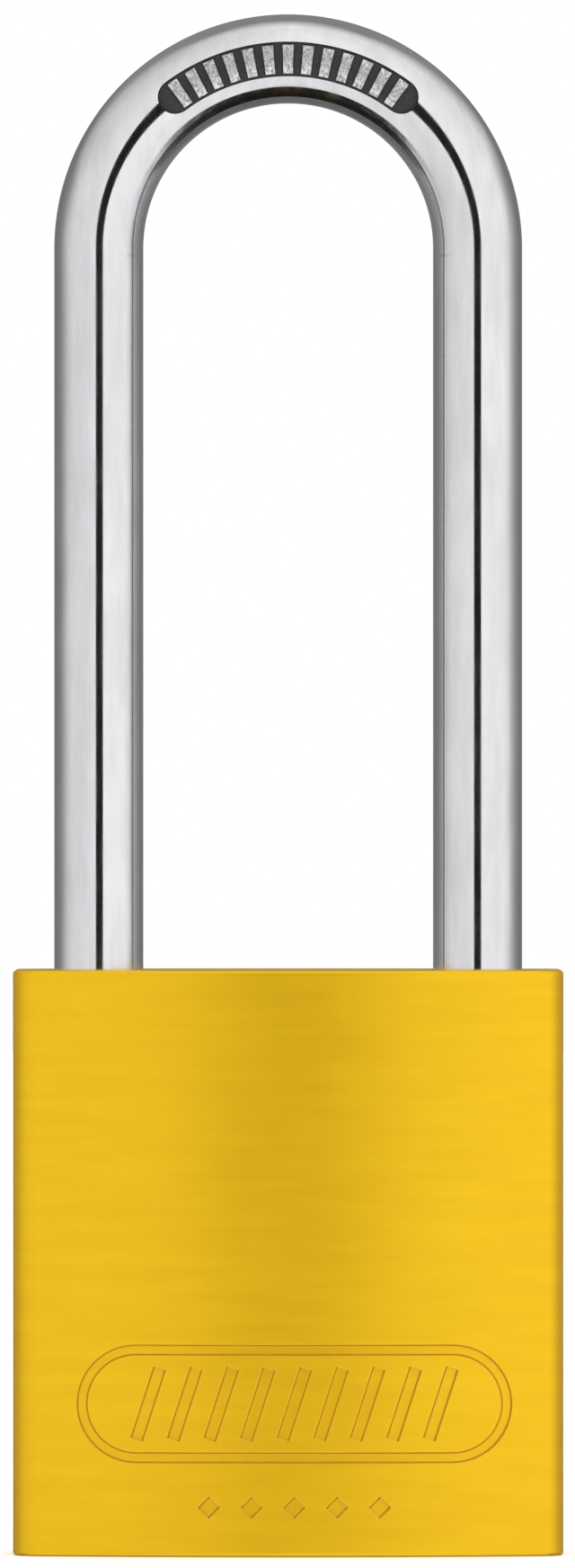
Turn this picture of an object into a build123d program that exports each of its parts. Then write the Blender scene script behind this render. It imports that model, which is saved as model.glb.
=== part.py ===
"""Aluminium safety padlock with a long shackle, a ball lock and a six-pin cylinder.

Frame: millimetres, +Z up, +X to the right seen from the front, -Y towards the viewer.
The origin is the centre of the body's underside. The shackle is down and the cylinder
stands at its release position, so both locking balls are clear of the shackle.
The shackle's toe leg is at +X and its heel leg at -X.
"""

from build123d import *

import os
from math import sqrt

# ---------------------------------------------------------------- driving dimensions
body_width = 40.0
body_height = 42.5
body_thickness = 19.0
face_crown_radius = 75.0
corner_radius = 2.4
rim_chamfer = 0.35

wire_diameter = 6.5
leg_spacing = 27.6
leg_reach = 52.5
leg_clearance = 0.15
mouth_chamfer = 0.4

ball_radius = 3.0
ball_height = 35.0
ball_clearance = 0.1
toe_ball_travel = 1.8
heel_ball_travel = 1.0

toe_leg_end = 29.6
heel_leg_end = 15.9
heel_collar_height = 3.0
heel_neck_top = 38.2
heel_neck_radius = 2.4
heel_bore_floor = 2.6

face_recess = 0.6
housing_radius = 6.45
housing_top = 26.5
bible_reach = 15.6
bible_width = 6.4
part_clearance = 0.1
cam_chamber_top = 38.5

plug_radius = 5.0
plug_clearance = 0.05
plug_head_radius = 5.6
plug_head_depth = 1.55
plug_shoulder = 28.0
tongue_size = (3.0, 8.0, 2.5)

pin_count = 6
pin_radius = 1.28
chamber_radius = 1.35
pin_pitch = 3.5
first_pin_height = 4.6
chamber_floor = -0.6
chamber_end = 14.2
key_pin_lengths = (3.4, 4.6, 3.8, 5.0, 4.2, 3.2)
driver_length = 3.0
driver_waist = 0.28
driver_start = 5.1

screw_x = 12.9
screw_radius = 1.5
screw_head_radius = 2.3
screw_head_bottom = 28.0
screw_head_height = 1.3
screw_length = 3.8

# ---------------------------------------------------------------- worked out from those
half_width = body_width / 2
half_thickness = body_thickness / 2
side_half = half_thickness - face_crown_radius + sqrt(face_crown_radius**2 - half_width**2)

wire_radius = wire_diameter / 2
leg_bore_radius = wire_radius + leg_clearance
toe_x = leg_spacing / 2
heel_x = -leg_spacing / 2
toe_bore_floor = toe_leg_end - 0.2
bend_height = body_height + leg_reach

channel_radius = ball_radius + ball_clearance
notch_depth = 1.7
locked_ball_x = toe_x - wire_radius + notch_depth - ball_radius
toe_ball_x = locked_ball_x - toe_ball_travel
heel_ball_x = -(locked_ball_x - heel_ball_travel)

bore_radius = housing_radius + part_clearance
slot_reach = bible_reach + part_clearance
slot_width = bible_width + 2 * part_clearance
slot_top = housing_top + part_clearance
pin_heights = [first_pin_height + pin_pitch * number for number in range(pin_count)]

os.makedirs("parts", exist_ok=True)


def save(builder, name):
    """Labels a finished sub-part and writes it as its own STEP file."""
    builder.part.label = name
    export_step(builder.part, f"parts/{name}.step")


# ---------------------------------------------------------------- body
# A bar with crowned faces, bored from above for the legs, from below for the cylinder
# and from the right-hand side for the two locking balls.
engraving_x = 0.45
engraving_depth = 0.22
cartouche_width = 31.6
cartouche_height = 8.6
cartouche_line = 0.8
cartouche_z = 11.1
stroke_size = (0.95, 5.4)
stroke_slant = 18
stroke_count = 9
stroke_pitch = 2.65
dot_radius = 0.8
dot_count = 5
dot_pitch = 3.1
dot_z = 3.6


def crowned_outline(inset):
    """The body's cross-section, drawn inset millimetres inside its outer surface."""
    reach = half_width - inset
    side = side_half - inset
    crown = half_thickness - inset
    with BuildSketch() as outline:
        with BuildLine():
            ThreePointArc((-reach, -side), (0, -crown), (reach, -side))
            Line((reach, -side), (reach, side))
            ThreePointArc((reach, side), (0, crown), (-reach, side))
            Line((-reach, side), (-reach, -side))
        make_face()
        fillet(outline.vertices(), corner_radius - inset)
    return outline.sketch


with BuildSketch(Plane.XZ.offset(half_thickness)) as engraved_lines:
    with Locations((engraving_x, cartouche_z)):
        SlotOverall(cartouche_width, cartouche_height)
        SlotOverall(
            cartouche_width - 2 * cartouche_line, cartouche_height - 2 * cartouche_line,
            mode=Mode.SUBTRACT,
        )
        with GridLocations(stroke_pitch, 0, stroke_count, 1):
            Rectangle(*stroke_size, rotation=-stroke_slant)
    with Locations((engraving_x, dot_z)):
        with GridLocations(dot_pitch, 0, dot_count, 1):
            RegularPolygon(dot_radius, 4)

with BuildPart() as engraving:
    add(extrude(crowned_outline(0), body_height))
    add(extrude(crowned_outline(engraving_depth), body_height), mode=Mode.SUBTRACT)
    extrude(engraved_lines.sketch, amount=-half_thickness, mode=Mode.INTERSECT)

with BuildPart() as body:
    add(extrude(crowned_outline(0), body_height))
    chamfer(body.faces().filter_by(Axis.Z).edges(), rim_chamfer)
    for leg_x, bore_floor in ((heel_x, heel_bore_floor), (toe_x, toe_bore_floor)):
        with Locations((leg_x, 0, body_height)):
            CounterSinkHole(
                leg_bore_radius, leg_bore_radius + mouth_chamfer,
                depth=body_height - bore_floor, counter_sink_angle=90,
            )
    with BuildSketch(Plane.XY):
        Circle(bore_radius)
    extrude(amount=cam_chamber_top, mode=Mode.SUBTRACT)
    with BuildSketch(Plane.XY):
        with Locations((slot_reach / 2, 0)):
            Rectangle(slot_reach, slot_width)
    extrude(amount=slot_top, mode=Mode.SUBTRACT)
    with BuildSketch(Plane.YZ.offset(heel_x)):
        with Locations((0, ball_height)):
            Circle(channel_radius)
    extrude(amount=half_width - heel_x, mode=Mode.SUBTRACT)
    with Locations((screw_x, 0, toe_bore_floor)):
        CounterBoreHole(
            screw_radius + part_clearance, screw_head_radius + part_clearance,
            toe_bore_floor - screw_head_bottom, depth=toe_bore_floor - housing_top,
        )
    add(engraving.part, mode=Mode.SUBTRACT)

save(body, "body")

# The pressed plug that closes the ball bore, flush with the right-hand side.
bore_plug_length = 2.75
bore_plug_chamfer = 0.15

with BuildPart() as cross_bore_plug:
    with BuildSketch(Plane.YZ.offset(half_width)):
        with Locations((0, ball_height)):
            Circle(channel_radius)
    extrude(amount=-bore_plug_length)
    chamfer(cross_bore_plug.edges().sort_by(Axis.X)[-1], bore_plug_chamfer)

save(cross_bore_plug, "cross_bore_plug")

# ---------------------------------------------------------------- shackle
# Round wire bent into a bow. A ball notch faces inwards on each leg, and the heel leg
# has a thin neck above a collar that keeps it in the body when it is lifted.
badge_half_angle = 36.7
badge_radius = 13.7
badge_width = 2.65
badge_floor = 2.8
badge_bar_size = (2.0, 0.85)
badge_bar_count = 13
badge_bar_spread = 70
heel_collar_top = heel_leg_end + heel_collar_height
toe_end_chamfer = 0.9
heel_end_chamfer = 0.4

badge_arc = CenterArc(
    (0, bend_height), badge_radius, 90 - badge_half_angle, arc_size=2 * badge_half_angle
)
with BuildSketch(Plane.XZ.offset(badge_floor)) as badge_lines:
    SlotArc(badge_arc, badge_width)
    with Locations((0, bend_height)):
        with PolarLocations(
            badge_radius, badge_bar_count,
            start_angle=90 - badge_bar_spread / 2, angular_range=badge_bar_spread, endpoint=True,
        ):
            Rectangle(*badge_bar_size, mode=Mode.SUBTRACT)

with BuildPart() as shackle:
    with BuildLine(Plane.XZ) as bow:
        Line((toe_x, toe_leg_end), (toe_x, bend_height))
        CenterArc((0, bend_height), toe_x, 0, arc_size=180)
        Line((heel_x, bend_height), (heel_x, heel_leg_end))
    with BuildSketch(Plane.XY.offset(toe_leg_end)):
        with Locations((toe_x, 0)):
            Circle(wire_radius)
    sweep(path=bow.wire())
    leg_ends = shackle.faces().filter_by(Axis.Z).edges()
    chamfer(leg_ends.sort_by(Axis.X)[-1], toe_end_chamfer)
    chamfer(leg_ends.sort_by(Axis.X)[0], heel_end_chamfer)
    with BuildSketch(Plane.XZ):
        with BuildLine():
            Polyline(
                (heel_x + heel_neck_radius, heel_collar_top),
                (heel_x + leg_bore_radius, heel_collar_top),
                (heel_x + leg_bore_radius, heel_neck_top),
                (heel_x + wire_radius, heel_neck_top),
                (heel_x + heel_neck_radius, heel_neck_top - wire_radius + heel_neck_radius),
                close=True,
            )
        make_face()
    revolve(axis=Axis((heel_x, 0, 0), (0, 0, 1)), mode=Mode.SUBTRACT)
    with Locations((locked_ball_x, 0, ball_height), (-locked_ball_x, 0, ball_height)):
        Sphere(channel_radius, mode=Mode.SUBTRACT)
    extrude(badge_lines.sketch, amount=wire_radius, mode=Mode.SUBTRACT)

save(shackle, "shackle")

# ---------------------------------------------------------------- shackle spring
shackle_spring_wire = 0.7
shackle_spring_radius = 2.6
shackle_spring_turns = 8
shackle_spring_gap = 0.1


def coil_spring(start, axis, length, coil_radius, wire, turns):
    """A helical compression spring that is length long over its end wires."""
    rise = length - wire
    first = Vector(*start) + Vector(*axis) * (wire / 2)
    with BuildPart() as spring:
        with BuildLine() as coil:
            Helix(rise / turns, rise, coil_radius, center=first, direction=axis)
        with BuildSketch(Plane(origin=coil.line @ 0, z_dir=coil.line % 0)):
            Circle(wire / 2)
        sweep(is_frenet=True)
    return spring


shackle_spring = coil_spring(
    (heel_x, 0, heel_bore_floor + shackle_spring_gap), (0, 0, 1),
    heel_leg_end - heel_bore_floor - 2 * shackle_spring_gap,
    shackle_spring_radius, shackle_spring_wire, shackle_spring_turns,
)
save(shackle_spring, "shackle_spring")

# ---------------------------------------------------------------- locking balls
for ball_name, ball_x in (("toe_ball", toe_ball_x), ("heel_ball", heel_ball_x)):
    with BuildPart() as ball:
        with Locations((ball_x, 0, ball_height)):
            Sphere(ball_radius)
    save(ball, ball_name)

# ---------------------------------------------------------------- locking cam
# Two half ellipses share their long axis. A quarter turn brings it in line with the
# balls and drives both of them outwards.
cam_bottom = 28.2
cam_top = 38.3
cam_long = 5.95
cam_toe_short = 4.25
cam_heel_short = 4.95
cam_slot_depth = 2.6

with BuildPart() as locking_cam:
    with BuildSketch(Plane.XY.offset(cam_bottom)):
        with BuildLine():
            EllipticalCenterArc((0, 0), cam_toe_short, cam_long, -90, arc_size=180)
            EllipticalCenterArc((0, 0), cam_heel_short, cam_long, 90, arc_size=180)
        make_face()
    extrude(amount=cam_top - cam_bottom)
    with BuildSketch(Plane.XY.offset(cam_bottom)):
        Rectangle(tongue_size[0] + part_clearance, tongue_size[1] + 2 * part_clearance)
    extrude(amount=cam_slot_depth, mode=Mode.SUBTRACT)

save(locking_cam, "locking_cam")

# ---------------------------------------------------------------- cylinder housing
# A round barrel with a rib, the bible, that holds the driver pins and their springs.
cover_width = 3.2
cover_thickness = 0.8
cover_overlap = 1.75
cover_bottom = pin_heights[0] - cover_overlap
cover_top = pin_heights[-1] + cover_overlap
tapped_depth = 2.5

with BuildPart() as cylinder_housing:
    with BuildSketch(Plane.XY.offset(face_recess)):
        Circle(housing_radius)
        with Locations((bible_reach / 2, 0)):
            Rectangle(bible_reach, bible_width)
    extrude(amount=housing_top - face_recess)
    with BuildSketch(Plane.XY.offset(face_recess)):
        Circle(plug_radius + plug_clearance)
    extrude(amount=housing_top, mode=Mode.SUBTRACT)
    with BuildSketch(Plane.XY.offset(face_recess)):
        Circle(plug_head_radius + plug_clearance)
    extrude(amount=plug_head_depth + plug_clearance, mode=Mode.SUBTRACT)
    with BuildSketch(Plane.YZ):
        with Locations([(0, height) for height in pin_heights]):
            Circle(chamber_radius)
    extrude(amount=chamber_end, mode=Mode.SUBTRACT)
    with BuildSketch(Plane.YZ.offset(bible_reach)):
        with Locations((0, (cover_bottom + cover_top) / 2)):
            Rectangle(cover_width, cover_top - cover_bottom)
    extrude(amount=chamber_end - bible_reach, mode=Mode.SUBTRACT)
    with Locations((screw_x, 0, housing_top)):
        Hole(screw_radius, tapped_depth)

save(cylinder_housing, "cylinder_housing")

# The strip that closes the outer ends of all six pin chambers.
with BuildPart() as chamber_cover:
    with BuildSketch(Plane.YZ.offset(chamber_end)):
        with Locations((0, (cover_bottom + cover_top) / 2)):
            Rectangle(cover_width, cover_top - cover_bottom)
    extrude(amount=cover_thickness)

save(chamber_cover, "chamber_cover")

# ---------------------------------------------------------------- plug and its clip
clip_bottom = 26.7
clip_thickness = 0.6
clip_clearance = 0.05
clip_root_radius = 3.9
clip_outer_radius = 5.6
clip_gap = 3.0
clip_gap_depth = 9.2
keyway_width = 2.2
keyway_low = -4.3
keyway_high = 2.4
keyway_end = 25.0
ward_height = 0.75
ward_reach = 0.85
left_ward_y = -1.9
right_ward_y = -0.3
head_chamfer = 0.3

with BuildPart() as plug:
    with BuildSketch(Plane.XY.offset(face_recess)):
        Circle(plug_radius)
    extrude(amount=plug_shoulder - face_recess)
    with BuildSketch(Plane.XY.offset(face_recess)):
        Circle(plug_head_radius)
    extrude(amount=plug_head_depth)
    chamfer(plug.edges().sort_by(Axis.Z)[0], head_chamfer)
    with BuildSketch(Plane.XY.offset(clip_bottom - clip_clearance)):
        Circle(plug_radius)
        Circle(clip_root_radius, mode=Mode.SUBTRACT)
    extrude(amount=clip_thickness + 2 * clip_clearance, mode=Mode.SUBTRACT)
    with BuildSketch(Plane.XY.offset(plug_shoulder)):
        Rectangle(tongue_size[0], tongue_size[1])
    extrude(amount=tongue_size[2])
    with BuildSketch(Plane.XY.offset(face_recess)):
        with Locations((0, (keyway_low + keyway_high) / 2)):
            Rectangle(keyway_width, keyway_high - keyway_low)
        with Locations((-keyway_width / 2, left_ward_y), (keyway_width / 2, right_ward_y)):
            Rectangle(2 * ward_reach, ward_height, mode=Mode.SUBTRACT)
    extrude(amount=keyway_end - face_recess, mode=Mode.SUBTRACT)
    with BuildSketch(Plane.XZ.offset(-plug_radius)):
        with Locations([(0, height) for height in pin_heights]):
            Circle(chamber_radius)
    extrude(amount=plug_radius - chamber_floor, mode=Mode.SUBTRACT)

save(plug, "plug")

with BuildPart() as plug_clip:
    with BuildSketch(Plane.XY.offset(clip_bottom)):
        Circle(clip_outer_radius)
        Circle(clip_root_radius + clip_clearance, mode=Mode.SUBTRACT)
        with Locations((0, -clip_outer_radius)):
            Rectangle(clip_gap, clip_gap_depth, mode=Mode.SUBTRACT)
    extrude(amount=clip_thickness)

save(plug_clip, "plug_clip")

# ---------------------------------------------------------------- pins and pin springs
# Key pins lie in the plug's chambers along +Y with their tips down on the chamber
# floors. Driver pins and springs lie in the housing's chambers along +X.
tip_length = 0.8
tip_radius = 0.35
pin_edge = 0.15
spool_end = 0.8
spring_wire = 0.26
spring_radius = 0.98
spring_turns = 6
spring_gap = 0.05
floor_gap = 0.05


def key_pin(length, height):
    """A pin with a conical tip, lying along +Y with its tip on the chamber floor."""
    start = chamber_floor + floor_gap
    with BuildPart() as pin:
        with BuildSketch(Plane.XY.offset(height)):
            with BuildLine():
                Polyline(
                    (0, start),
                    (tip_radius, start),
                    (pin_radius, start + tip_length),
                    (pin_radius, start + length - pin_edge),
                    (pin_radius - pin_edge, start + length),
                    (0, start + length),
                    close=True,
                )
            make_face()
        revolve(axis=Axis((0, 0, height), (0, 1, 0)))
    return pin


def driver_pin(height, spooled):
    """A plain or waisted pin, lying along +X just outside the plug."""
    end = driver_start + driver_length
    waist_start = driver_start + spool_end
    waist_end = end - spool_end
    waist_top = height + pin_radius - driver_waist
    rim = height + pin_radius
    with BuildPart() as pin:
        with BuildSketch(Plane.XZ):
            with BuildLine():
                Polyline(
                    (driver_start, height),
                    (driver_start, rim - pin_edge),
                    (driver_start + pin_edge, rim),
                    (end - pin_edge, rim),
                    (end, rim - pin_edge),
                    (end, height),
                    close=True,
                )
            make_face()
            if spooled:
                with BuildLine():
                    Polyline(
                        (waist_start, rim),
                        (waist_start, waist_top),
                        (waist_end, waist_top),
                        (waist_end, rim),
                        close=True,
                    )
                make_face(mode=Mode.SUBTRACT)
        revolve(axis=Axis((0, 0, height), (1, 0, 0)))
    return pin


for number, (pin_length, pin_height) in enumerate(zip(key_pin_lengths, pin_heights), 1):
    spring_start = driver_start + driver_length + spring_gap
    save(key_pin(pin_length, pin_height), f"key_pin_{number}")
    save(driver_pin(pin_height, number % 2 == 0), f"driver_pin_{number}")
    pin_spring = coil_spring(
        (spring_start, 0, pin_height), (1, 0, 0), chamber_end - spring_gap - spring_start,
        spring_radius, spring_wire, spring_turns,
    )
    save(pin_spring, f"pin_spring_{number}")

# ---------------------------------------------------------------- retaining screw
# Reached down the empty toe bore, it holds the housing's bible up in the body.
socket_radius = 1.1
socket_depth = 0.8
screw_head_chamfer = 0.3

with BuildPart() as retaining_screw:
    with BuildSketch(Plane.XY.offset(screw_head_bottom)):
        with Locations((screw_x, 0)):
            Circle(screw_head_radius)
    extrude(amount=screw_head_height)
    chamfer(retaining_screw.edges().sort_by(Axis.Z)[-1], screw_head_chamfer)
    with BuildSketch(Plane.XY.offset(screw_head_bottom)):
        with Locations((screw_x, 0)):
            Circle(screw_radius)
    extrude(amount=-screw_length)
    with BuildSketch(Plane.XY.offset(screw_head_bottom + screw_head_height)):
        with Locations((screw_x, 0)):
            RegularPolygon(socket_radius, 6)
    extrude(amount=-socket_depth, mode=Mode.SUBTRACT)

save(retaining_screw, "retaining_screw")
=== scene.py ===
import math

import bmesh
import bpy
from mathutils import Matrix, Vector


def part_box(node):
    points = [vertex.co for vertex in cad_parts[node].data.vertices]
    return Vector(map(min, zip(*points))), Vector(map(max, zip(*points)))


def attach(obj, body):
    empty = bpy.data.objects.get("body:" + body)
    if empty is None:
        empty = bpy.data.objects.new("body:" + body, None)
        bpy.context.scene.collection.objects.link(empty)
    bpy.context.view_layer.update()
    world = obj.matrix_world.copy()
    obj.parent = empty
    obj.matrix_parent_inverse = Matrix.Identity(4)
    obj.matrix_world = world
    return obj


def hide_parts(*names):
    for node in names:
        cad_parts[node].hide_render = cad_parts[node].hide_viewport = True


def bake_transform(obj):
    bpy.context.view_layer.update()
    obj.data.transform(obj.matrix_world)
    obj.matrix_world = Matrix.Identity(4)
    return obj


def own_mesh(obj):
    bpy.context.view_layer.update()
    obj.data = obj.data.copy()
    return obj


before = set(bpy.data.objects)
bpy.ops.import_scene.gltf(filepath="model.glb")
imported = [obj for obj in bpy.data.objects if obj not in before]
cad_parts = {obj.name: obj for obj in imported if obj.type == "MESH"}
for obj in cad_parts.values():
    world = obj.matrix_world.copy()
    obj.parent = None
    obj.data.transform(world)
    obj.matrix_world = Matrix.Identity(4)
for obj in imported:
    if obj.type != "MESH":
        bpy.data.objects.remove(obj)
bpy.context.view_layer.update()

# ------------------------------------------------------------------ sizes, in metres
MM = 0.001
FACE_CROWN_RADIUS = 75 * MM
CORNER_RADIUS = 2.4 * MM
RIM_ROUND = 0.3 * MM
BORE_CLEARANCE = 0.15 * MM
FIT_CLEARANCE = 0.1 * MM
MOUTH_CHAMFER = 0.4 * MM
MOUTH_BREAK = 0.2 * MM
SCREW_HOLE_RADIUS = 1.6 * MM
ENGRAVING_DEPTH = 0.22 * MM
ENGRAVING_DRAFT = 0.12 * MM
ENGRAVING_MIDDLE_X = 0.45 * MM
SLOT_HALF_WIDTH = 3.3 * MM
SEAT_FLOOR = 28.0 * MM
CAM_HEADROOM = 0.2 * MM

BODY_LOW, BODY_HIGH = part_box("body")
HALF_WIDTH = (BODY_HIGH.x - BODY_LOW.x) / 2
HALF_THICKNESS = (BODY_HIGH.y - BODY_LOW.y) / 2
BODY_TOP = BODY_HIGH.z
CROWN_AXIS_Y = FACE_CROWN_RADIUS - HALF_THICKNESS

SHACKLE_LOW, SHACKLE_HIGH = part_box("shackle")
WIRE_RADIUS = (SHACKLE_HIGH.y - SHACKLE_LOW.y) / 2
BOW_RADIUS = (SHACKLE_HIGH.x - SHACKLE_LOW.x) / 2 - WIRE_RADIUS
BOW_HEIGHT = SHACKLE_HIGH.z - BOW_RADIUS - WIRE_RADIUS
HEEL_LEG_END = SHACKLE_LOW.z
TOE_LEG_END = 29.6 * MM
HEEL_NECK_RADIUS = 2.4 * MM
HEEL_COLLAR_TOP = HEEL_LEG_END + 3.0 * MM
HEEL_NECK_TOP = 38.2 * MM
TOE_END_CHAMFER = 0.9 * MM
HEEL_END_CHAMFER = 0.4 * MM
NOTCH_DEPTH = 1.7 * MM

BADGE_RADIUS = 13.7 * MM
BADGE_WIDTH = 2.65 * MM
BADGE_FLOOR = 2.8 * MM
BADGE_HALF_ANGLE = math.radians(36.7)
BADGE_DRAFT = 0.25
BAR_COUNT = 13
BAR_SPREAD = math.radians(70)
BAR_LENGTH = 2.0 * MM
BAR_WIDTH = 0.85 * MM
BAR_TOP_INSET = 0.12 * MM

HOUSING_LOW, HOUSING_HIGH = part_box("cylinder_housing")
BALL_LOW, BALL_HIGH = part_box("toe_ball")
BALL_HEIGHT = (BALL_LOW.z + BALL_HIGH.z) / 2
NOTCH_RADIUS = (BALL_HIGH.z - BALL_LOW.z) / 2 + FIT_CLEARANCE
SCREW_LOW, SCREW_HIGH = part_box("retaining_screw")
SCREW_X = (SCREW_LOW.x + SCREW_HIGH.x) / 2
LIFT_SPRING_LOW, LIFT_SPRING_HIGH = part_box("shackle_spring")
LIFT_SPRING_WIRE = 0.7 * MM
LIFT_SPRING_TURNS = 8
PIN_COUNT = 6
DRIVER_SPRING_WIRE = 0.26 * MM
DRIVER_SPRING_TURNS = 6
# Shares of the wire's diameter: from a ground end to the wire's centre, and the end turns' pitch.
SPRING_END_INSET = 0.2
SPRING_CLOSED_PITCH = 1.05
STEPS_PER_TURN = 48
WIRE_SIDES = 20

# How far a cutter reaches past the surface that it opens.
OVERSHOOT = 1 * MM
CUT_OVERLAP = 0.2 * MM
# Points that cutting leaves closer than this are one point.
WELD_DISTANCE = 0.00002 * MM
SHARP_ANGLE = math.radians(30)
COIL_SHARP_ANGLE = math.radians(40)


# ------------------------------------------------------------------ mesh helpers
def new_object(name, mesh):
    """Puts a mesh in the scene as an object."""
    obj = bpy.data.objects.new(name, mesh)
    bpy.context.scene.collection.objects.link(obj)
    return obj


def rings_to_mesh(name, rings):
    """A closed skin over a row of rings that all have the same number of points."""
    count = len(rings[0])
    vertices = [point for ring in rings for point in ring]
    faces = []
    for row in range(len(rings) - 1):
        for k in range(count):
            a = row * count + k
            b = row * count + (k + 1) % count
            faces.append((a, b, b + count, a + count))
    faces.append(tuple(reversed(range(count))))
    faces.append(tuple(range((len(rings) - 1) * count, len(rings) * count)))
    mesh = bpy.data.meshes.new(name)
    mesh.from_pydata(vertices, [], faces)
    mesh.validate()
    return mesh


def turned(name, profile, origin, axis, segments=96):
    """A solid of revolution. The profile is (distance along axis, radius) pairs."""
    side = axis.orthogonal().normalized()
    other = axis.cross(side)
    rings = []
    for along, radius in profile:
        rings.append([
            origin + axis * along
            + (side * math.cos(turn) + other * math.sin(turn)) * radius
            for turn in (2 * math.pi * k / segments for k in range(segments))
        ])
    return rings_to_mesh(name, rings)


def recalculated(mesh):
    """The same mesh with all its faces turned outwards."""
    fixed = bmesh.new()
    fixed.from_mesh(mesh)
    bmesh.ops.recalc_face_normals(fixed, faces=fixed.faces)
    fixed.to_mesh(mesh)
    fixed.free()
    return mesh


def joined(meshes):
    """One mesh that holds several separate ones."""
    whole = bmesh.new()
    for mesh in meshes:
        whole.from_mesh(mesh)
    result = bpy.data.meshes.new("joined")
    whole.to_mesh(result)
    whole.free()
    return result


def cut(target, mesh, operation="DIFFERENCE"):
    """Takes the solid of a mesh away from the target object, or keeps what they share."""
    tool = new_object("tool", mesh)
    step = target.modifiers.new("cut", "BOOLEAN")
    step.operation = operation
    step.solver = "EXACT"
    step.object = tool
    evaluated = target.evaluated_get(bpy.context.evaluated_depsgraph_get())
    result = bpy.data.meshes.new_from_object(evaluated)
    target.modifiers.clear()
    target.data = result
    bpy.data.objects.remove(tool)


def welded(mesh):
    """The same mesh with the points merged that cutting left in one place."""
    fixed = bmesh.new()
    fixed.from_mesh(mesh)
    bmesh.ops.remove_doubles(fixed, verts=fixed.verts, dist=WELD_DISTANCE)
    fixed.to_mesh(mesh)
    fixed.free()
    return mesh


def box_mesh(name, low, high):
    """A box between two corners."""
    corners = ((low.x, low.y), (high.x, low.y), (high.x, high.y), (low.x, high.y))
    rings = [[Vector((x, y, z)) for x, y in corners] for z in (low.z, high.z)]
    return rings_to_mesh(name, rings)


def smooth(obj, true_normal):
    """Smooth shading. Where true_normal knows the surface, its exact normal is used."""
    mesh = welded(obj.data)
    mesh.shade_smooth()
    mesh.set_sharp_from_angle(angle=SHARP_ANGLE)
    normals = [Vector((0, 0, 0))] * len(mesh.loops)
    for face in mesh.polygons:
        for loop in face.loop_indices:
            exact = true_normal(mesh.vertices[mesh.loops[loop].vertex_index].co, face)
            if exact is not None:
                normals[loop] = exact
    mesh.normals_split_custom_set([tuple(n) for n in normals])


# ------------------------------------------------------------------ body
def front_y(x):
    """The y of the crowned front face at x."""
    return CROWN_AXIS_Y - math.sqrt(FACE_CROWN_RADIUS**2 - x * x)


def body_outline():
    """Points and outward normals around the body's cross-section, anticlockwise."""
    # The corner's centre is one corner radius inside both the side and the crown.
    corner_x = HALF_WIDTH - CORNER_RADIUS
    corner_y = math.sqrt((FACE_CROWN_RADIUS - CORNER_RADIUS) ** 2 - corner_x**2) - CROWN_AXIS_Y
    half_crown = math.asin(corner_x / (FACE_CROWN_RADIUS - CORNER_RADIUS))
    pairs = []

    def arc(centre_x, centre_y, radius, start, end, steps):
        for k in range(steps):
            turn = start + (end - start) * k / steps
            normal = Vector((math.cos(turn), math.sin(turn), 0))
            pairs.append((Vector((centre_x, centre_y, 0)) + normal * radius, normal))

    right = math.pi / 2
    crown_steps, corner_steps = 120, 24
    arc(0, CROWN_AXIS_Y, FACE_CROWN_RADIUS, -right - half_crown, -right + half_crown, crown_steps)
    arc(corner_x, -corner_y, CORNER_RADIUS, -right + half_crown, 0, corner_steps)
    arc(corner_x, corner_y, CORNER_RADIUS, 0, right - half_crown, corner_steps)
    arc(0, -CROWN_AXIS_Y, FACE_CROWN_RADIUS, right - half_crown, right + half_crown, crown_steps)
    arc(-corner_x, corner_y, CORNER_RADIUS, right + half_crown, 2 * right, corner_steps)
    arc(-corner_x, -corner_y, CORNER_RADIUS, 2 * right, 3 * right - half_crown, corner_steps)
    return pairs


def groove(points, closed, half_width):
    """A cutter for an engraved line that follows the crowned face at one depth.

    The points are (x, z) pairs in the plane of the face, and the groove's walls slope.
    """
    count = len(points)
    levels = (
        (half_width + ENGRAVING_DRAFT, -0.1 * MM),
        (half_width, 0.0),
        (half_width - ENGRAVING_DRAFT, ENGRAVING_DEPTH),
    )
    rings = []
    for k in range(count):
        here = Vector(points[k])
        before = Vector(points[(k - 1) % count]) if closed or k > 0 else here
        after = Vector(points[(k + 1) % count]) if closed or k < count - 1 else here
        along = (after - before).normalized()
        across = Vector((-along.y, along.x))
        ring = []
        for side in (-1, 1):
            for reach, depth in (levels if side < 0 else reversed(levels)):
                at = here + across * reach * side
                ring.append(Vector((at.x, front_y(at.x) + depth, at.y)))
        rings.append(ring)
    mesh = bpy.data.meshes.new("groove")
    size = len(rings[0])
    vertices = [point for ring in rings for point in ring]
    faces = []
    spans = count if closed else count - 1
    for row in range(spans):
        for k in range(size):
            a = row * size + k
            b = row * size + (k + 1) % size
            c = ((row + 1) % count) * size
            faces.append((a, b, c + (k + 1) % size, c + k))
    if not closed:
        faces.append(tuple(reversed(range(size))))
        faces.append(tuple(range((count - 1) * size, count * size)))
    mesh.from_pydata(vertices, [], faces)
    return recalculated(mesh)


def stadium(width, height, centre_z):
    """The centreline of a pill-shaped loop, as (x, z) pairs."""
    radius = height / 2
    reach = width / 2 - radius
    bend_steps, half_straight_steps = 24, 20
    points = []
    for side in (1, -1):
        for k in range(bend_steps + 1):
            turn = -math.pi / 2 + math.pi * k / bend_steps
            x = side * (reach + radius * math.cos(turn))
            points.append((x, centre_z + side * radius * math.sin(turn)))
        for k in range(1, 2 * half_straight_steps):
            points.append((side * reach * (1 - k / half_straight_steps), centre_z + side * radius))
    return points


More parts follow.
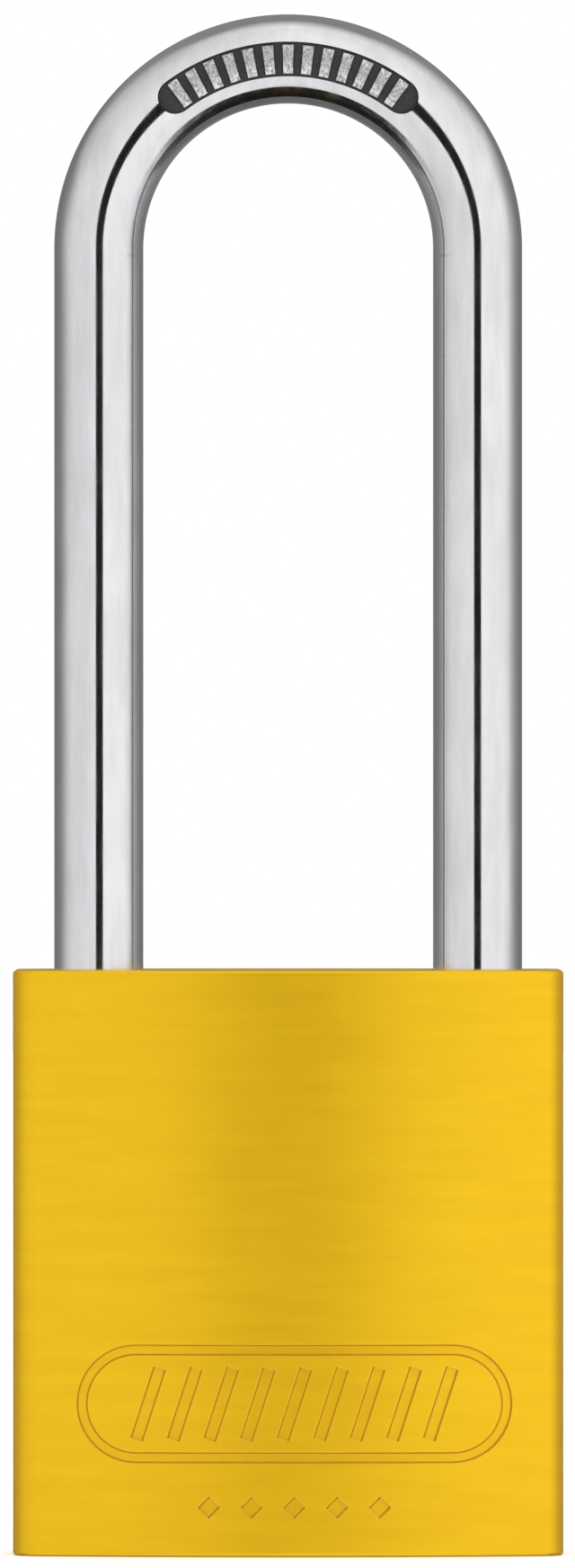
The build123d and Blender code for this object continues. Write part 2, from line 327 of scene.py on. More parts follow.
def engrave(obj):
    """The pill-shaped cartouche, the slanted strokes inside it and the diamonds below."""
    middle = ENGRAVING_MIDDLE_X
    width, height, centre_z = 31.6 * MM, 8.6 * MM, 11.1 * MM
    line = 0.8 * MM
    loop = [(middle + x, z) for x, z in stadium(width - line, height - line, centre_z)]
    cut(obj, groove(loop, True, line / 2))
    stroke_count, stroke_pitch = 9, 2.65 * MM
    stroke_length, stroke_width = 5.4 * MM, 0.95 * MM
    slant = math.radians(18)
    for k in range(stroke_count):
        x = middle + (k - (stroke_count - 1) / 2) * stroke_pitch
        reach = Vector((math.sin(slant), math.cos(slant))) * stroke_length / 2
        ends = [Vector((x, centre_z)) + reach * end for end in (-1, 0, 1)]
        cut(obj, groove(ends, False, stroke_width / 2))
    diamond_count, diamond_pitch, diamond_z = 5, 3.1 * MM, 3.6 * MM
    half_side = 0.8 * MM / math.sqrt(2)
    for k in range(diamond_count):
        x = middle + (k - (diamond_count - 1) / 2) * diamond_pitch
        reach = Vector((1, 1)).normalized() * half_side
        ends = [Vector((x, diamond_z)) + reach * end for end in (-1, 1)]
        cut(obj, groove(ends, False, half_side))


def make_body():
    """The aluminium body with all its bores and its engraved front face."""
    outline = body_outline()
    rim_steps = 6
    levels = []
    for k in range(rim_steps + 1):
        turn = math.pi / 2 * k / rim_steps
        levels.append((RIM_ROUND * (1 - math.sin(turn)), RIM_ROUND * (1 - math.cos(turn))))
    levels += [(inset, BODY_TOP - height) for inset, height in reversed(levels)]
    rings = [
        [point - normal * inset + Vector((0, 0, height)) for point, normal in outline]
        for inset, height in levels
    ]
    obj = new_object("padlock_body", rings_to_mesh("padlock_body", rings))

    up = Vector((0, 0, 1))
    right = Vector((1, 0, 0))
    leg_bore = WIRE_RADIUS + BORE_CLEARANCE
    bore = -HOUSING_LOW.x + FIT_CLEARANCE
    screw_seat = SCREW_HIGH.z + FIT_CLEARANCE
    spring_seat = LIFT_SPRING_LOW.z - FIT_CLEARANCE
    for leg_x, floor in ((-BOW_RADIUS, spring_seat), (BOW_RADIUS, screw_seat)):
        profile = (
            (floor, leg_bore), (BODY_TOP - MOUTH_CHAMFER, leg_bore),
            (BODY_TOP + OVERSHOOT, leg_bore + MOUTH_CHAMFER + OVERSHOOT),
        )
        cut(obj, turned("leg_bore", profile, Vector((leg_x, 0, 0)), up, 128))
    cam_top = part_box("locking_cam")[1].z + CAM_HEADROOM
    profile = ((-OVERSHOOT, bore + OVERSHOOT + MOUTH_BREAK), (MOUTH_BREAK, bore), (cam_top, bore))
    cut(obj, turned("cylinder_bore", profile, Vector((0, 0, 0)), up, 160))
    slot_top = HOUSING_HIGH.z + FIT_CLEARANCE
    slot_low = Vector((0, -SLOT_HALF_WIDTH, -OVERSHOOT))
    slot_high = Vector((HOUSING_HIGH.x + FIT_CLEARANCE, SLOT_HALF_WIDTH, slot_top))
    cut(obj, box_mesh("slot", slot_low, slot_high))
    profile = ((-BOW_RADIUS, NOTCH_RADIUS), (HALF_WIDTH + OVERSHOOT, NOTCH_RADIUS))
    cut(obj, turned("ball_bore", profile, Vector((0, 0, BALL_HEIGHT)), right, 96))
    seat_radius = (SCREW_HIGH.x - SCREW_LOW.x) / 2 + FIT_CLEARANCE
    profile = (
        (slot_top - CUT_OVERLAP, SCREW_HOLE_RADIUS), (SEAT_FLOOR, SCREW_HOLE_RADIUS),
        (SEAT_FLOOR, seat_radius), (screw_seat + CUT_OVERLAP, seat_radius),
    )
    cut(obj, turned("screw_seat", profile, Vector((SCREW_X, 0, 0)), up, 64))

    engrave(obj)

    def true_normal(co, face):
        """The crown's normal, on the front and the back face."""
        if abs(face.normal.z) > 0.02 or abs(face.normal.y) < 0.5:
            return None
        side = -1 if co.y < 0 else 1
        spoke = Vector((co.x, co.y + side * CROWN_AXIS_Y, 0))
        if abs(co.x) > HALF_WIDTH - CORNER_RADIUS:
            return None
        if abs(spoke.length - FACE_CROWN_RADIUS) > 0.004 * MM:
            return None
        normal = spoke.normalized()
        return normal if normal.dot(face.normal) > 0.99 else None

    smooth(obj, true_normal)
    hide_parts("body")
    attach(obj, "case")
    return obj


# ------------------------------------------------------------------ shackle
def bow_centre(co):
    """The nearest point on the shackle's centreline."""
    if co.z <= BOW_HEIGHT:
        return Vector((math.copysign(BOW_RADIUS, co.x), 0, co.z))
    spoke = Vector((co.x, 0, co.z - BOW_HEIGHT)).normalized()
    return Vector((0, 0, BOW_HEIGHT)) + spoke * BOW_RADIUS


def bow_prism(radius, half, start, end, depths, widen, rounded):
    """A prism along -Y over a stretch of the bow, from one depth to the other.

    It covers half on each side of the radius, between two angles about the bow's
    centre, and each side grows by widen on the way to the second depth.
    """
    rings = []
    for depth, spread in zip(depths, (0, widen)):
        reach = half + spread
        swing = 0 if rounded else spread / radius
        low, high = start - swing, end + swing
        steps = 60 if rounded else 2
        turns = [low + (high - low) * k / steps for k in range(steps + 1)]
        bulges = [math.pi * k / 16 for k in range(1, 16)] if rounded else []
        ring = [(radius + reach, turn, 0, 0) for turn in turns]
        ring += [(radius, end, bulge, reach) for bulge in bulges]
        ring += [(radius - reach, turn, 0, 0) for turn in reversed(turns)]
        ring += [(radius, start, bulge + math.pi, reach) for bulge in bulges]
        points = []
        for out, turn, bulge, size in ring:
            radial = Vector((math.cos(turn), 0, math.sin(turn)))
            along = Vector((-math.sin(turn), 0, math.cos(turn)))
            point = radial * (out + size * math.cos(bulge)) + along * size * math.sin(bulge)
            points.append(point + Vector((0, -depth, BOW_HEIGHT)))
        rings.append(points)
    return recalculated(rings_to_mesh("bow_prism", rings))


def bow_tube(radius, start, end, steps=60):
    """A round bar that follows the bow's centreline between two angles."""
    front = Vector((0, -1, 0))
    rings = []
    for k in range(steps + 1):
        turn = start + (end - start) * k / steps
        radial = Vector((math.cos(turn), 0, math.sin(turn)))
        centre = Vector((0, 0, BOW_HEIGHT)) + radial * BOW_RADIUS
        rings.append([
            centre + (radial * math.cos(around) + front * math.sin(around)) * radius
            for around in (2 * math.pi * j / 128 for j in range(128))
        ])
    return recalculated(rings_to_mesh("bow_tube", rings))


def cut_badge(obj):
    """The badge recess, with thirteen bars left standing just under the wire's surface."""
    up = math.pi / 2
    sky = WIRE_RADIUS + OVERSHOOT
    start, end = up - BADGE_HALF_ANGLE, up + BADGE_HALF_ANGLE
    floor_half = BADGE_WIDTH / 2 - BADGE_DRAFT * (WIRE_RADIUS - BADGE_FLOOR)
    widen = BADGE_DRAFT * (sky - BADGE_FLOOR)
    below = 0.5 * MM
    slope = BADGE_DRAFT / 2 * (sky - BADGE_FLOOR)
    bar_half = BAR_WIDTH / BADGE_RADIUS / 2
    middles = [up + BAR_SPREAD * (k / (BAR_COUNT - 1) - 0.5) for k in range(BAR_COUNT)]
    bars = new_object("bars", joined([
        bow_prism(
            BADGE_RADIUS, BAR_LENGTH / 2 + slope / 2, middle - bar_half, middle + bar_half,
            (BADGE_FLOOR - below, sky + below), -slope, False,
        )
        for middle in middles
    ]))
    spare_angle = 0.3
    wire = bow_tube(WIRE_RADIUS - BAR_TOP_INSET, start - spare_angle, end + spare_angle)
    cut(bars, wire, "INTERSECT")
    recess = new_object("recess", bow_prism(
        BADGE_RADIUS, floor_half, start, end, (BADGE_FLOOR, sky), widen, True,
    ))
    cut(recess, bars.data)
    cut(obj, recess.data)
    bpy.data.objects.remove(bars)
    bpy.data.objects.remove(recess)


def make_shackle():
    """The bent wire bow with its two ball notches, heel neck and recessed badge."""
    segments = 128
    down_toe = [
        (TOE_LEG_END, WIRE_RADIUS - TOE_END_CHAMFER),
        (TOE_LEG_END + TOE_END_CHAMFER, WIRE_RADIUS),
        (BOW_HEIGHT, WIRE_RADIUS),
    ]
    up_heel = [
        (HEEL_NECK_TOP, WIRE_RADIUS),
        (HEEL_NECK_TOP - WIRE_RADIUS + HEEL_NECK_RADIUS, HEEL_NECK_RADIUS),
        (HEEL_COLLAR_TOP, HEEL_NECK_RADIUS),
        (HEEL_COLLAR_TOP - 0.001 * MM, WIRE_RADIUS),
        (HEEL_LEG_END + HEEL_END_CHAMFER, WIRE_RADIUS),
        (HEEL_LEG_END, WIRE_RADIUS - HEEL_END_CHAMFER),
    ]
    stations = [(Vector((BOW_RADIUS, 0, z)), Vector((1, 0, 0)), radius) for z, radius in down_toe]
    bend_steps = 240
    for k in range(1, bend_steps + 1):
        turn = math.pi * k / bend_steps
        radial = Vector((math.cos(turn), 0, math.sin(turn)))
        stations.append((Vector((0, 0, BOW_HEIGHT)) + radial * BOW_RADIUS, radial, WIRE_RADIUS))
    stations += [(Vector((-BOW_RADIUS, 0, z)), Vector((-1, 0, 0)), radius) for z, radius in up_heel]
    front = Vector((0, -1, 0))
    rings = []
    for centre, radial, radius in stations:
        rings.append([
            centre + (radial * math.cos(turn) + front * math.sin(turn)) * radius
            for turn in (2 * math.pi * k / segments for k in range(segments))
        ])
    obj = new_object("shackle_bow", rings_to_mesh("shackle_bow", rings))
    recalculated(obj.data)
    notch_x = BOW_RADIUS - WIRE_RADIUS + NOTCH_DEPTH - (NOTCH_RADIUS - FIT_CLEARANCE)
    for x in (-notch_x, notch_x):
        ball = bmesh.new()
        bmesh.ops.create_uvsphere(ball, u_segments=64, v_segments=32, radius=NOTCH_RADIUS)
        ball.transform(Matrix.Translation((x, 0, BALL_HEIGHT)))
        mesh = bpy.data.meshes.new("notch")
        ball.to_mesh(mesh)
        ball.free()
        cut(obj, mesh)
    cut_badge(obj)

    def true_normal(co, face):
        """The round wire's normal, on its skin and on the tops of the badge's bars."""
        spoke = co - bow_centre(co)
        off_skin = abs(spoke.length - WIRE_RADIUS)
        off_bars = abs(spoke.length - WIRE_RADIUS + BAR_TOP_INSET)
        if min(off_skin, off_bars) > 0.003 * MM:
            return None
        normal = spoke.normalized()
        return normal if normal.dot(face.normal) > 0.98 else None

    smooth(obj, true_normal)
    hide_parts("shackle")
    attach(obj, "shackle")
    return obj


# ------------------------------------------------------------------ springs
def coil(name, low, axis, length, outer_radius, wire, turns):
    """A compression spring along axis, with closed turns and flat ground ends.

    The turns open from the ends towards the middle, and low is the middle of its start.
    """
    side = axis.orthogonal().normalized()
    other = axis.cross(side)
    radius = wire / 2
    rise = length - 2 * SPRING_END_INSET * wire
    closed = 1 - SPRING_CLOSED_PITCH * wire * turns / rise
    steps = STEPS_PER_TURN * turns
    centres = []
    spokes = []
    for k in range(steps + 1):
        share = k / steps
        turn = 2 * math.pi * turns * share
        along = rise * (share - closed * math.sin(2 * math.pi * share) / (2 * math.pi))
        spoke = side * math.cos(turn) + other * math.sin(turn)
        spokes.append(spoke)
        centres.append(low + axis * (SPRING_END_INSET * wire + along) + spoke * (outer_radius - radius))
    rings = []
    for k, (centre, spoke) in enumerate(zip(centres, spokes)):
        ahead = centres[min(k + 1, steps)] - centres[max(k - 1, 0)]
        across = ahead.normalized().cross(spoke)
        ring = []
        for around in (2 * math.pi * j / WIRE_SIDES for j in range(WIRE_SIDES)):
            point = centre + (spoke * math.cos(around) + across * math.sin(around)) * radius
            reach = (point - low).dot(axis)
            ring.append(point + axis * (min(max(reach, 0), length) - reach))
        rings.append(ring)
    obj = new_object(name, recalculated(rings_to_mesh(name, rings)))
    obj.data.shade_smooth()
    obj.data.set_sharp_from_angle(angle=COIL_SHARP_ANGLE)
    return obj


def make_driver_spring(number):
    """The spring behind a driver pin. It shortens as the pin moves outwards."""
    node = f"pin_spring_{number}"
    low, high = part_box(node)
    right = Vector((1, 0, 0))
    start = Vector((low.x, 0, (low.z + high.z) / 2))
    length = high.x - low.x
    name = f"driver_spring_{number}"
    outer_radius = (high.z - low.z) / 2
    obj = coil(name, start, right, length, outer_radius, DRIVER_SPRING_WIRE, DRIVER_SPRING_TURNS)
    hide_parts(node)
    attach(obj, "case")
    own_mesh(obj)
    return obj


def make_lift_spring():
    """The spring under the heel leg. It stays on its floor and stretches with the shackle."""
    low, high = LIFT_SPRING_LOW, LIFT_SPRING_HIGH
    start = Vector(((low.x + high.x) / 2, 0, low.z))
    up = Vector((0, 0, 1))
    length = high.z - low.z
    outer_radius = (high.x - low.x) / 2
    obj = coil("lift_spring", start, up, length, outer_radius, LIFT_SPRING_WIRE, LIFT_SPRING_TURNS)
    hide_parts("shackle_spring")
    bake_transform(obj)
    return obj


body = make_body()
shackle = make_shackle()
driver_springs = [make_driver_spring(number) for number in range(1, PIN_COUNT + 1)]
lift_spring = make_lift_spring()


# ------------------------------------------------------------------ materials
BEVEL_SAMPLES = 6


class Finish:
    """A node material in the making: a Principled shader and what feeds it."""

    def __init__(self, name, colour, metallic, roughness, **constants):
        self.material = bpy.data.materials.new(name)
        self.material.use_nodes = True
        self.tree = self.material.node_tree
        self.shader = self.tree.nodes["Principled BSDF"]
        self.set(self.shader.inputs["Base Color"], (*colour, 1))
        self.set(self.shader.inputs["Metallic"], metallic)
        self.set(self.shader.inputs["Roughness"], roughness)
        for socket, value in constants.items():
            self.set(self.shader.inputs[socket.replace("_", " ")], value)

    def set(self, socket, value):
        """Links an output to a socket, or gives the socket a value of its own."""
        if isinstance(value, bpy.types.NodeSocket):
            self.tree.links.new(value, socket)
        else:
            socket.default_value = value

    def node(self, kind, **inputs):
        """Adds a node. Names that match an input feed it, and others set a property."""
        made = self.tree.nodes.new(kind)
        for key, value in inputs.items():
            named = (i for i in made.inputs if i.name.replace(" ", "_") == key and i.enabled)
            socket = next(named, None)
            if socket is None:
                setattr(made, key, value)
            else:
                self.set(socket, value)
        return made

    def place(self, stretch=(1, 1, 1)):
        """The point's place on the object, in metres, stretched along each axis."""
        where = self.node("ShaderNodeTexCoord")
        sized = self.node("ShaderNodeMapping")
        sized.inputs["Scale"].default_value = stretch
        self.set(sized.inputs["Vector"], where.outputs["Object"])
        return sized.outputs["Vector"]

    def noise(self, stretch, detail=3.0, rough=0.5):
        """Noise with the given number of lumps per metre along X, Y and Z."""
        made = self.node(
            "ShaderNodeTexNoise", Vector=self.place(stretch), Scale=1.0, Detail=detail, Roughness=rough,
        )
        return made.outputs["Fac"]

    def spread(self, value, low, high, to_low=0.0, to_high=1.0):
        """Maps the stretch from low to high onto another one, clamped."""
        made = self.node(
            "ShaderNodeMapRange", Value=value, From_Min=low, From_Max=high, To_Min=to_low, To_Max=to_high,
        )
        return made.outputs["Result"]

    def math(self, operation, first, second):
        """A sum, product or the like of two values."""
        made = self.node("ShaderNodeMath", operation=operation)
        self.set(made.inputs[0], first)
        self.set(made.inputs[1], second)
        return made.outputs["Value"]

    def blend(self, share, first, second):
        """A mix of two colours."""
        made = self.node("ShaderNodeMix", data_type="RGBA")
        self.set(made.inputs["Factor"], share)
        for name, value in (("A", first), ("B", second)):
            socket = [i for i in made.inputs if i.name == name and i.type == "RGBA"][0]
            self.set(socket, value if isinstance(value, bpy.types.NodeSocket) else (*value[:3], 1))
        return [o for o in made.outputs if o.type == "RGBA"][0]

    def edges(self, radius):
        """How far a point is rounded off by wear: 1 on a sharp outer edge, 0 on a flat."""
        bevel = self.node("ShaderNodeBevel", samples=BEVEL_SAMPLES, Radius=radius)
        flat = self.node("ShaderNodeNewGeometry")
        facing = self.node("ShaderNodeVectorMath", operation="DOT_PRODUCT")
        self.set(facing.inputs[0], bevel.outputs["Normal"])
        self.set(facing.inputs[1], flat.outputs["Normal"])
        return self.spread(facing.outputs["Value"], 1.0, 0.8)

    def relief(self, *layers, soften=None):
        """Feeds the shader's normal with bumps, given as (height, depth in metres) pairs.

        With soften, sharp edges look rounded off by that radius underneath the bumps.
        """
        normal = None
        if soften:
            bevel = self.node("ShaderNodeBevel", samples=BEVEL_SAMPLES, Radius=soften)
            normal = bevel.outputs["Normal"]
        for height, depth in layers:
            bump = self.node("ShaderNodeBump", Height=height, Distance=depth, Strength=1.0)
            if normal is not None:
                self.set(bump.inputs["Normal"], normal)
            normal = bump.outputs["Normal"]
        self.set(self.shader.inputs["Normal"], normal)

    def feed(self, socket, value):
        """Sets or links an input of the shader."""
        self.set(self.shader.inputs[socket], value)


def paint(obj, *finishes):
    """Gives an object these materials, in the order of its slots."""
    obj.data.materials.clear()
    for finish in finishes:
        obj.data.materials.append(finish.material)


def anodised_yellow():
    """Dyed anodised aluminium with a fine grain drawn across the face."""
    made = Finish("anodised_yellow", (0.93, 0.57, 0.010), 0.64, 0.3, Specular_IOR_Level=0.35)
    grain = made.noise((90, 90, 3200), 4.0, 0.6)
    streaks = made.noise((120, 120, 900), 3.0)
    clouds = made.noise((160, 160, 160), 2.0)
    worn = made.edges(0.3 * MM)
    dull, bright, bare_edge = (0.91, 0.535, 0.008), (0.95, 0.575, 0.010), (0.98, 0.72, 0.10)
    shade = made.blend(made.spread(streaks, 0.35, 0.7), dull, bright)
    shade = made.blend(made.math("MULTIPLY", worn, 0.3), shade, bare_edge)
    made.feed("Base Color", shade)
    made.feed("Roughness", made.spread(clouds, 0.3, 0.7, 0.285, 0.33))
    made.relief((grain, 0.002 * MM), soften=0.12 * MM)
    return made


def engraved_yellow():
    """The walls of the engraved lines, darkened with painted shade and mottled at random."""
    # Painted shade: a darker, rougher yellow stands in for the shade inside the grooves.
    made = Finish("engraved_yellow", (0.62, 0.33, 0.008), 0.4, 0.45)
    mottle_in_shade = made.noise((1800, 1800, 1800), 3.0)
    made.feed("Base Color", made.blend(mottle_in_shade, (0.52, 0.26, 0.007), (0.74, 0.42, 0.009)))
    made.relief((mottle_in_shade, 0.004 * MM))
    return made


def bright_chrome():
    """Chrome plate over polished wire."""
    made = Finish("bright_chrome", (0.83, 0.83, 0.85), 1.0, 0.08)
    haze = made.noise((420, 420, 130), 3.0)
    streaks = made.noise((1500, 1500, 260), 4.0, 0.6)
    worn = made.math("ADD", made.math("MULTIPLY", haze, 0.5), made.math("MULTIPLY", streaks, 0.5))
    dull, bright = (0.77, 0.77, 0.79), (0.87, 0.87, 0.89)
    made.feed("Base Color", made.blend(made.spread(worn, 0.38, 0.62), dull, bright))
    made.feed("Roughness", made.spread(worn, 0.38, 0.62, 0.13, 0.06))
    made.relief((haze, 0.003 * MM))
    return made


def recess_black():
    """The near-black, sandblasted floor of the badge recess."""
    made = Finish("recess_black", (0.04, 0.04, 0.042), 0.6, 0.55)
    grit = made.noise((9000, 9000, 9000), 2.0)
    made.feed("Base Color", made.blend(grit, (0.015, 0.015, 0.016), (0.10, 0.10, 0.105)))
    made.relief((grit, 0.02 * MM))
    return made


def satin_chrome():
    """The tops of the badge's bars: plated, but pitted where the die pressed them."""
    made = Finish("satin_chrome", (0.85, 0.85, 0.86), 1.0, 0.42)
    pits = made.noise((4200, 4200, 4200), 3.0)
    pitted, plated = (0.42, 0.42, 0.43), (0.97, 0.97, 0.98)
    made.feed("Base Color", made.blend(made.spread(pits, 0.35, 0.6), pitted, plated))
    made.feed("Roughness", made.spread(pits, 0.35, 0.65, 0.55, 0.34))
    made.relief((pits, 0.03 * MM))
    return made


def turned_brass(name, colour, roughness):
    """Machined brass with fine rings about the vertical axis."""
    made = Finish(name, colour, 1.0, roughness)
    rings = made.node(
        "ShaderNodeTexWave", wave_type="RINGS", rings_direction="Z", Vector=made.place(),
        Scale=1100.0, Distortion=0.6, Detail=2.0,
    )
    tarnish = made.noise((700, 700, 240), 5.0, 0.6)
    dark = [c * 0.84 for c in colour]
    made.feed("Base Color", made.blend(made.spread(tarnish, 0.4, 0.75), colour, dark))
    made.feed("Roughness", made.spread(tarnish, 0.3, 0.7, roughness, roughness * 1.3))
    made.relief((rings.outputs["Fac"], 0.003 * MM), soften=0.1 * MM)
    return made


def drawn_metal(name, colour, roughness, grain=0.004 * MM):
    """Plain steel, nickel, bronze or brass for the small inner pieces."""
    made = Finish(name, colour, 1.0, roughness)
    mottle = made.noise((1500, 1500, 1500), 3.0)
    made.feed("Base Color", made.blend(mottle, [c * 0.8 for c in colour], colour))
    made.feed("Roughness", made.spread(mottle, 0.3, 0.7, roughness, roughness * 1.35))
    made.relief((made.noise((6000, 6000, 6000), 2.0), grain))
    return made


def paint_body(obj):
    """Yellow all over, with painted shade on the walls of the engraved lines."""
    paint(obj, anodised_yellow(), engraved_yellow())
    margin = 0.01 * MM
    for face in obj.data.polygons:
        x, y, z = face.center
        on_crown = y < 0 and abs(x) < HALF_WIDTH - CORNER_RADIUS
        if on_crown and RIM_ROUND < z < BODY_TOP - RIM_ROUND:
            if margin < y - front_y(x) < ENGRAVING_DEPTH - margin:
                # Painted shade: the groove walls take the darkened material.
                face.material_index = 1


def paint_shackle(obj):
    """Chrome, with a dark floor in the badge recess and satin tops on its bars."""
    paint(obj, bright_chrome(), recess_black(), satin_chrome())
    for face in obj.data.polygons:
        spoke = face.center - bow_centre(face.center)
        inset = WIRE_RADIUS - spoke.length
        if face.center.z < BOW_HEIGHT or inset < 0.03 * MM:
            continue
        faces_out = spoke.normalized().dot(face.normal) > 0.95
        on_top = faces_out and abs(inset - BAR_TOP_INSET) < 0.02 * MM
        face.material_index = 2 if on_top else 1


paint_body(body)
paint(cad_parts["cross_bore_plug"], anodised_yellow())
paint_shackle(shackle)
spring_bronze = drawn_metal("spring_bronze", (0.70, 0.50, 0.30), 0.28)
for spring in driver_springs:
    paint(spring, spring_bronze)
paint(lift_spring, drawn_metal("spring_steel", (0.50, 0.51, 0.53), 0.28))
BALL_COLOUR = (0.72, 0.73, 0.75)
BALL_ROUGHNESS = 0.08
BALL_GRAIN = 0.0005 * MM
NODE_FINISHES = {
    "cylinder_housing": turned_brass("housing_brass", (0.72, 0.50, 0.20), 0.31),
    "plug": turned_brass("plug_brass", (0.78, 0.60, 0.30), 0.28),
    "chamber_cover": drawn_metal("cover_brass", (0.74, 0.54, 0.24), 0.3),
    "key_pin": drawn_metal("pin_brass", (0.78, 0.57, 0.25), 0.28),
    "driver_pin": drawn_metal("driver_nickel", (0.66, 0.63, 0.56), 0.28),
    "plug_clip": drawn_metal("clip_steel", (0.42, 0.43, 0.45), 0.3),
    "locking_cam": drawn_metal("sintered_steel", (0.36, 0.35, 0.34), 0.5, 0.02 * MM),
    "toe_ball": drawn_metal("ball_steel", BALL_COLOUR, BALL_ROUGHNESS, BALL_GRAIN),
    "heel_ball": drawn_metal("heel_ball_steel", BALL_COLOUR, BALL_ROUGHNESS, BALL_GRAIN),
    "retaining_screw": drawn_metal("black_oxide", (0.06, 0.06, 0.065), 0.4),
}
for name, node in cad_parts.items():
    for start, finish in NODE_FINISHES.items():
        if name.startswith(start):
            paint(node, finish)


# ------------------------------------------------------------------ stage, light, camera
# Rows of light from the ground up. Each row takes over between two heights, and gives the
# level at each compass direction, both in degrees: 0 is the front and 90 the right.
LIGHT_BELOW = 0.35
DOWNWARD_ROW = ((-180, 0.15), (-100, 0.15), (-80, 0.84), (80, 0.93), (100, 0.15), (180, 0.15))
WALL_ROW = (
    (-180, 0.20), (-134, 0.20), (-113, 0.28), (-98, 0.47), (-85, 0.67), (-72, 0.76), (-20, 0.85),
    (10, 1.0), (35, 0.97), (72, 0.96), (85, 0.82), (98, 0.52), (113, 0.32), (134, 0.20), (180, 0.20),
)
LOW_WALL_ROW = (
    (-180, 0.20), (-134, 0.22), (-113, 0.32), (-85, 0.67), (-20, 0.85),
    (10, 1.0), (72, 0.96), (85, 0.82), (113, 0.33), (134, 0.22), (180, 0.20),
)
UPPER_ROW = (
    (-180, 0.25), (-140, 0.27), (-113, 0.54), (-85, 0.66), (-20, 0.85),
    (10, 1.0), (85, 0.85), (113, 0.60), (140, 0.27), (180, 0.25),
)
TOP_ROW = ((-180, 0.9), (180, 0.9))
LIGHT_ROWS = (
    (-88, -70, DOWNWARD_ROW), (-30, -24, LOW_WALL_ROW), (-9, -5, WALL_ROW), (18, 28, UPPER_ROW),
    (62, 88, TOP_ROW),
)
# Lamps that reflections don't see: name, energy and tilt from straight down, in degrees.
LAMPS = (("overhead", 1.15, 0), ("back_fill", 1.6, -60))
LAMP_SPREAD = math.radians(60)
FLOOR_RADIUS = 3.0
FLOOR_THICKNESS = 0.002
FLAG_DISTANCE = 0.6
FLAG_HALF_WIDTH = 0.098
FLAG_X = 0.008
FLAG_BOTTOM = -0.015
FLAG_TOP = 0.52
BEND_FLAG_HALF_WIDTH = 0.65 * MM
BEND_FLAG_DROP = 0.26 * MM
BEND_FLAG_FRONT = -5 * MM
BEND_FLAG_BACK = 4 * MM
SENSOR = 36
CAMERA_DISTANCE = 1.6
FRAME_HEIGHT = 0.1142
CAMERA_X = -0.05 * MM
CAMERA_Z = 56.0 * MM


def make_floor():
    """A pale matt floor that glows a little, wide enough to fill every view."""
    profile = ((-FLOOR_THICKNESS, FLOOR_RADIUS), (0, FLOOR_RADIUS))
    floor = new_object("floor", turned("floor", profile, Vector((0, 0, 0)), Vector((0, 0, 1))))
    glow = {"Emission_Color": (1, 1, 1, 1), "Emission_Strength": 0.2}
    made = Finish("pale_floor", (0.92, 0.92, 0.92), 0.0, 0.9, **glow)
    made.feed("Base Color", made.blend(made.noise((40, 40, 40)), (0.90, 0.90, 0.90), (0.94, 0.94, 0.94)))
    paint(floor, made)
    floor.visible_glossy = False


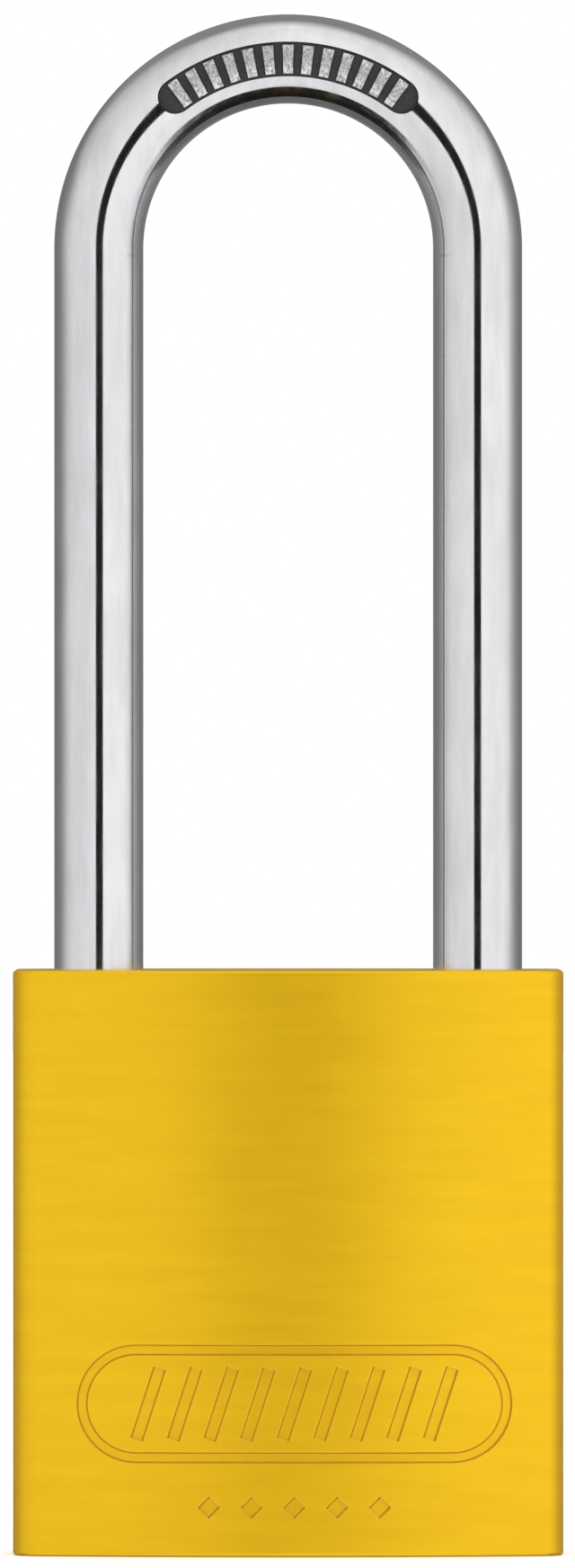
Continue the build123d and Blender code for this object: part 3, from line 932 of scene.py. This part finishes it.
def make_light():
    """A soft light tent whose brightness depends on the compass direction and the height.

    The camera itself sees plain white around the object.
    """
    world = bpy.data.worlds.new("studio")
    world.use_nodes = True
    tree = world.node_tree
    where = tree.nodes.new("ShaderNodeTexCoord")
    split = tree.nodes.new("ShaderNodeSeparateXYZ")
    tree.links.new(where.outputs["Generated"], split.inputs["Vector"])

    def feed(socket, value):
        if isinstance(value, bpy.types.NodeSocket):
            tree.links.new(value, socket)
        else:
            socket.default_value = value

    def maths(operation, *values):
        made = tree.nodes.new("ShaderNodeMath")
        made.operation = operation
        for socket, value in zip(made.inputs, values):
            feed(socket, value)
        return made.outputs["Value"]

    def ramp(value, low, high, stops):
        """The level at a value, read off stops given as (value, level) pairs."""
        made = tree.nodes.new("ShaderNodeValToRGB")
        share = maths("DIVIDE", maths("SUBTRACT", value, low), high - low)
        tree.links.new(share, made.inputs["Fac"])
        elements = made.color_ramp.elements
        while len(elements) < len(stops):
            elements.new(0.5)
        for element, (place, level) in zip(elements, stops):
            element.position = (place - low) / (high - low)
            element.color = (level, level, level, 1)
        return made.outputs["Color"]

    def mix(share, first, second):
        made = tree.nodes.new("ShaderNodeMix")
        made.data_type = "RGBA"
        feed(made.inputs["Factor"], share)
        colours = [i for i in made.inputs if i.type == "RGBA"]
        feed(colours[0], first)
        feed(colours[1], second)
        return [o for o in made.outputs if o.type == "RGBA"][0]

    forward = maths("MULTIPLY", split.outputs["Y"], -1)
    compass = maths("DEGREES", maths("ARCTAN2", split.outputs["X"], forward))
    height = maths("DEGREES", maths("ARCSINE", split.outputs["Z"]))
    light = (*[LIGHT_BELOW] * 3, 1)
    for low, high, stops in LIGHT_ROWS:
        share = ramp(height, -90, 90, ((low, 0), (high, 1)))
        light = mix(share, light, ramp(compass, -180, 180, stops))
    path = tree.nodes.new("ShaderNodeLightPath")
    light = mix(path.outputs["Is Camera Ray"], light, (1, 1, 1, 1))
    tree.links.new(light, tree.nodes["Background"].inputs["Color"])
    bpy.context.scene.world = world

    for name, energy, tilt in LAMPS:
        lamp = bpy.data.lights.new(name, "SUN")
        lamp.energy = energy
        lamp.angle = LAMP_SPREAD
        sun = bpy.data.objects.new(name, lamp)
        sun.rotation_euler = (math.radians(tilt), 0, 0)
        sun.visible_glossy = False
        bpy.context.scene.collection.objects.link(sun)


def make_flags():
    """Dark cards that only reflections see.

    One stands in front and draws the dark line down the chrome and the soft band on the
    body. The other is a small one at the middle of the bend, where all the bend's
    downward reflections cross, and keeps the body's colour out of them.
    """
    card = Finish("black_card", (0.01, 0.01, 0.01), 0.0, 1.0, Specular_IOR_Level=0.0)
    thin = 0.01 * MM
    corners = {
        "front_flag": (
            (FLAG_X - FLAG_HALF_WIDTH, -FLAG_DISTANCE - thin, FLAG_BOTTOM),
            (FLAG_X + FLAG_HALF_WIDTH, -FLAG_DISTANCE, FLAG_TOP),
        ),
        "bend_flag": (
            (-BEND_FLAG_HALF_WIDTH, BEND_FLAG_FRONT, BOW_HEIGHT - BEND_FLAG_DROP - thin),
            (BEND_FLAG_HALF_WIDTH, BEND_FLAG_BACK, BOW_HEIGHT - BEND_FLAG_DROP),
        ),
    }
    for name, (low, high) in corners.items():
        flag = new_object(name, box_mesh(name, Vector(low), Vector(high)))
        paint(flag, card)
        for kind in ("camera", "diffuse", "shadow", "transmission"):
            setattr(flag, "visible_" + kind, False)


def make_camera():
    """A long lens level with the middle of the padlock."""
    data = bpy.data.cameras.new("camera")
    data.sensor_width = SENSOR
    data.lens = SENSOR * CAMERA_DISTANCE / FRAME_HEIGHT
    data.clip_start = 0.01
    data.clip_end = 10
    camera = bpy.data.objects.new("camera", data)
    bpy.context.scene.collection.objects.link(camera)
    camera.location = (CAMERA_X, -CAMERA_DISTANCE, CAMERA_Z)
    camera.rotation_euler = (math.pi / 2, 0, 0)
    bpy.context.scene.camera = camera


make_floor()
make_flags()
make_light()
make_camera()
bpy.context.scene.view_settings.view_transform = "Standard"
